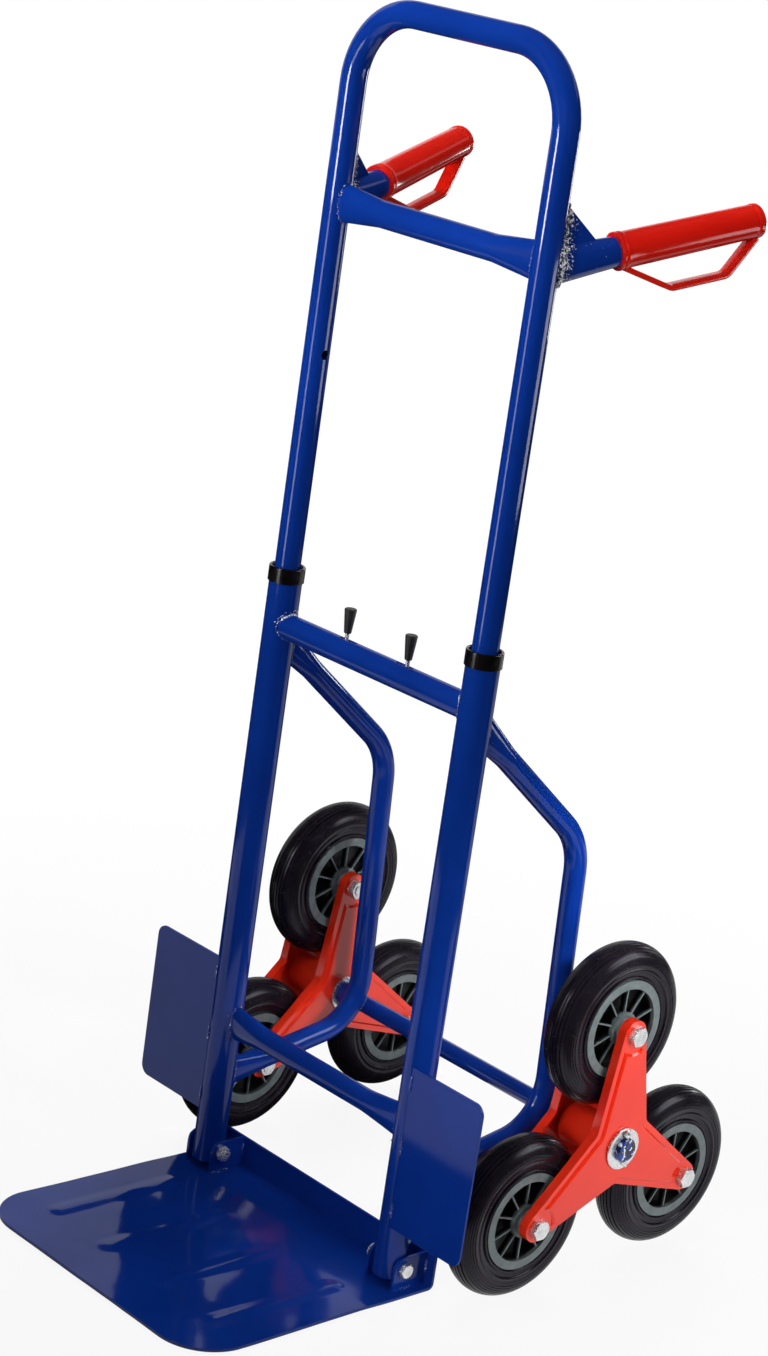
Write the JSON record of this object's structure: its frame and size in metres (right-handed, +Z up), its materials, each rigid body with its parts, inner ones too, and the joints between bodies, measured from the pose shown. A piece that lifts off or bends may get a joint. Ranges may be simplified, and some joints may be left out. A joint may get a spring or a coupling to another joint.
{
  "type": "stair climbing hand truck",
  "caption": "Upright two-tube hand truck with a sliding loop handle, folding toe plate, side wings and a turning three-wheel star on each side that climbs stairs.",
  "frame": {"origin": "on the floor, in the middle plane, under the hinge axis of the toe plate", "axes": "+X to the truck's right, -Y forwards over the toe plate, +Y to the wheels, +Z up"},
  "size_m": [0.486, 0.6331, 1.1705],
  "materials": {
    "blue_enamel": "glossy dark blue enamel",
    "red_enamel": "glossy red enamel",
    "zinc_steel": "bright zinc plate",
    "spring_steel": "drawn spring wire",
    "grip_red": "smooth moulded red plastic",
    "black_plastic": "moulded black plastic",
    "rim_grey": "moulded grey plastic",
    "nylon": "natural nylon",
    "tyre_rubber": "black rubber"
  },
  "bodies": {
    "frame": {"left_upright_tube": "blue_enamel", "right_upright_tube": "blue_enamel", "left_wheel_stay": "blue_enamel", "right_wheel_stay": "blue_enamel", "left_guide_bush": "black_plastic", "right_guide_bush": "black_plastic", "left_load_wing": "blue_enamel", "right_load_wing": "blue_enamel", "left_lock_spring": "spring_steel", "right_lock_spring": "spring_steel", "lock_cross_tube": "blue_enamel", "lower_cross_tube": "blue_enamel", "axle": "blue_enamel", "axle_washers": "zinc_steel", "axle_split_pins": "zinc_steel", "lock_spring_stop": "zinc_steel"},
    "handle": {"handle_loop_tube": "blue_enamel", "handle_cross_tube": "blue_enamel", "left_grip_stub": "blue_enamel", "right_grip_stub": "blue_enamel", "left_grip": "grip_red", "right_grip": "grip_red", "grip_gussets": "blue_enamel", "leg_plugs": "nylon"},
    "toe_plate": {"toe_plate": "blue_enamel", "hinge_lugs": "blue_enamel", "hinge_bolts": "zinc_steel", "hinge_nuts": "zinc_steel"},
    "left_lock": {"left_lock_plunger": "zinc_steel", "left_lock_knob": "black_plastic"},
    "left_star": {"left_star_outer_plate": "red_enamel", "left_star_inner_plate": "red_enamel", "left_hub_tube": "red_enamel", "left_hub_bushes": "nylon", "left_wheel_bolts": "zinc_steel", "left_wheel_nuts": "zinc_steel", "left_wheel_sleeves": "zinc_steel"},
    "left_top_wheel": {"left_top_tyre": "tyre_rubber", "left_top_rim": "rim_grey"},
    "left_rear_wheel": {"left_rear_tyre": "tyre_rubber", "left_rear_rim": "rim_grey"},
    "left_front_wheel": {"left_front_tyre": "tyre_rubber", "left_front_rim": "rim_grey"},
    "right_lock": {"right_lock_plunger": "zinc_steel", "right_lock_knob": "black_plastic"},
    "right_star": {"right_star_outer_plate": "red_enamel", "right_star_inner_plate": "red_enamel", "right_hub_tube": "red_enamel", "right_hub_bushes": "nylon", "right_wheel_bolts": "zinc_steel", "right_wheel_nuts": "zinc_steel", "right_wheel_sleeves": "zinc_steel"},
    "right_top_wheel": {"right_top_tyre": "tyre_rubber", "right_top_rim": "rim_grey"},
    "right_rear_wheel": {"right_rear_tyre": "tyre_rubber", "right_rear_rim": "rim_grey"},
    "right_front_wheel": {"right_front_tyre": "tyre_rubber", "right_front_rim": "rim_grey"}
  },
  "joints": [
    {"name": "handle_slide", "type": "slide", "parent": "frame", "child": "handle", "axis": [0, 0, 1], "range_m": [-0.264, 0]},
    {"name": "toe_plate_fold", "type": "hinge", "parent": "frame", "child": "toe_plate", "pos_m": [0, 0, 0.0235], "axis": [-1, 0, 0], "range_deg": [0, 90]},
    {"name": "left_lock_slide", "type": "slide", "parent": "frame", "child": "left_lock", "axis": [-1, 0, 0], "range_m": [-0.012, 0.006], "stiffness_N_per_m": 400, "springref_m": 0.01, "deforming": ["left_lock_spring"]},
    {"name": "right_lock_slide", "type": "slide", "parent": "frame", "child": "right_lock", "axis": [1, 0, 0], "range_m": [-0.012, 0.006], "stiffness_N_per_m": 400, "springref_m": 0.01, "deforming": ["right_lock_spring"]},
    {"name": "left_star_turn", "type": "hinge", "parent": "frame", "child": "left_star", "pos_m": [-0.2, 0.18745, 0.14479], "axis": [1, 0, 0], "continuous": true},
    {"name": "left_top_wheel_turn", "type": "hinge", "parent": "left_star", "child": "left_top_wheel", "pos_m": [-0.2, 0.18214, 0.26167], "axis": [1, 0, 0], "continuous": true},
    {"name": "left_rear_wheel_turn", "type": "hinge", "parent": "left_star", "child": "left_rear_wheel", "pos_m": [-0.2, 0.29132, 0.09094], "axis": [1, 0, 0], "continuous": true},
    {"name": "left_front_wheel_turn", "type": "hinge", "parent": "left_star", "child": "left_front_wheel", "pos_m": [-0.2, 0.08888, 0.08175], "axis": [1, 0, 0], "continuous": true},
    {"name": "right_star_turn", "type": "hinge", "parent": "frame", "child": "right_star", "pos_m": [0.2, 0.18745, 0.14479], "axis": [1, 0, 0], "continuous": true},
    {"name": "right_top_wheel_turn", "type": "hinge", "parent": "right_star", "child": "right_top_wheel", "pos_m": [0.2, 0.18214, 0.26167], "axis": [1, 0, 0], "continuous": true},
    {"name": "right_rear_wheel_turn", "type": "hinge", "parent": "right_star", "child": "right_rear_wheel", "pos_m": [0.2, 0.29132, 0.09094], "axis": [1, 0, 0], "continuous": true},
    {"name": "right_front_wheel_turn", "type": "hinge", "parent": "right_star", "child": "right_front_wheel", "pos_m": [0.2, 0.08888, 0.08175], "axis": [1, 0, 0], "continuous": true}
  ]
}
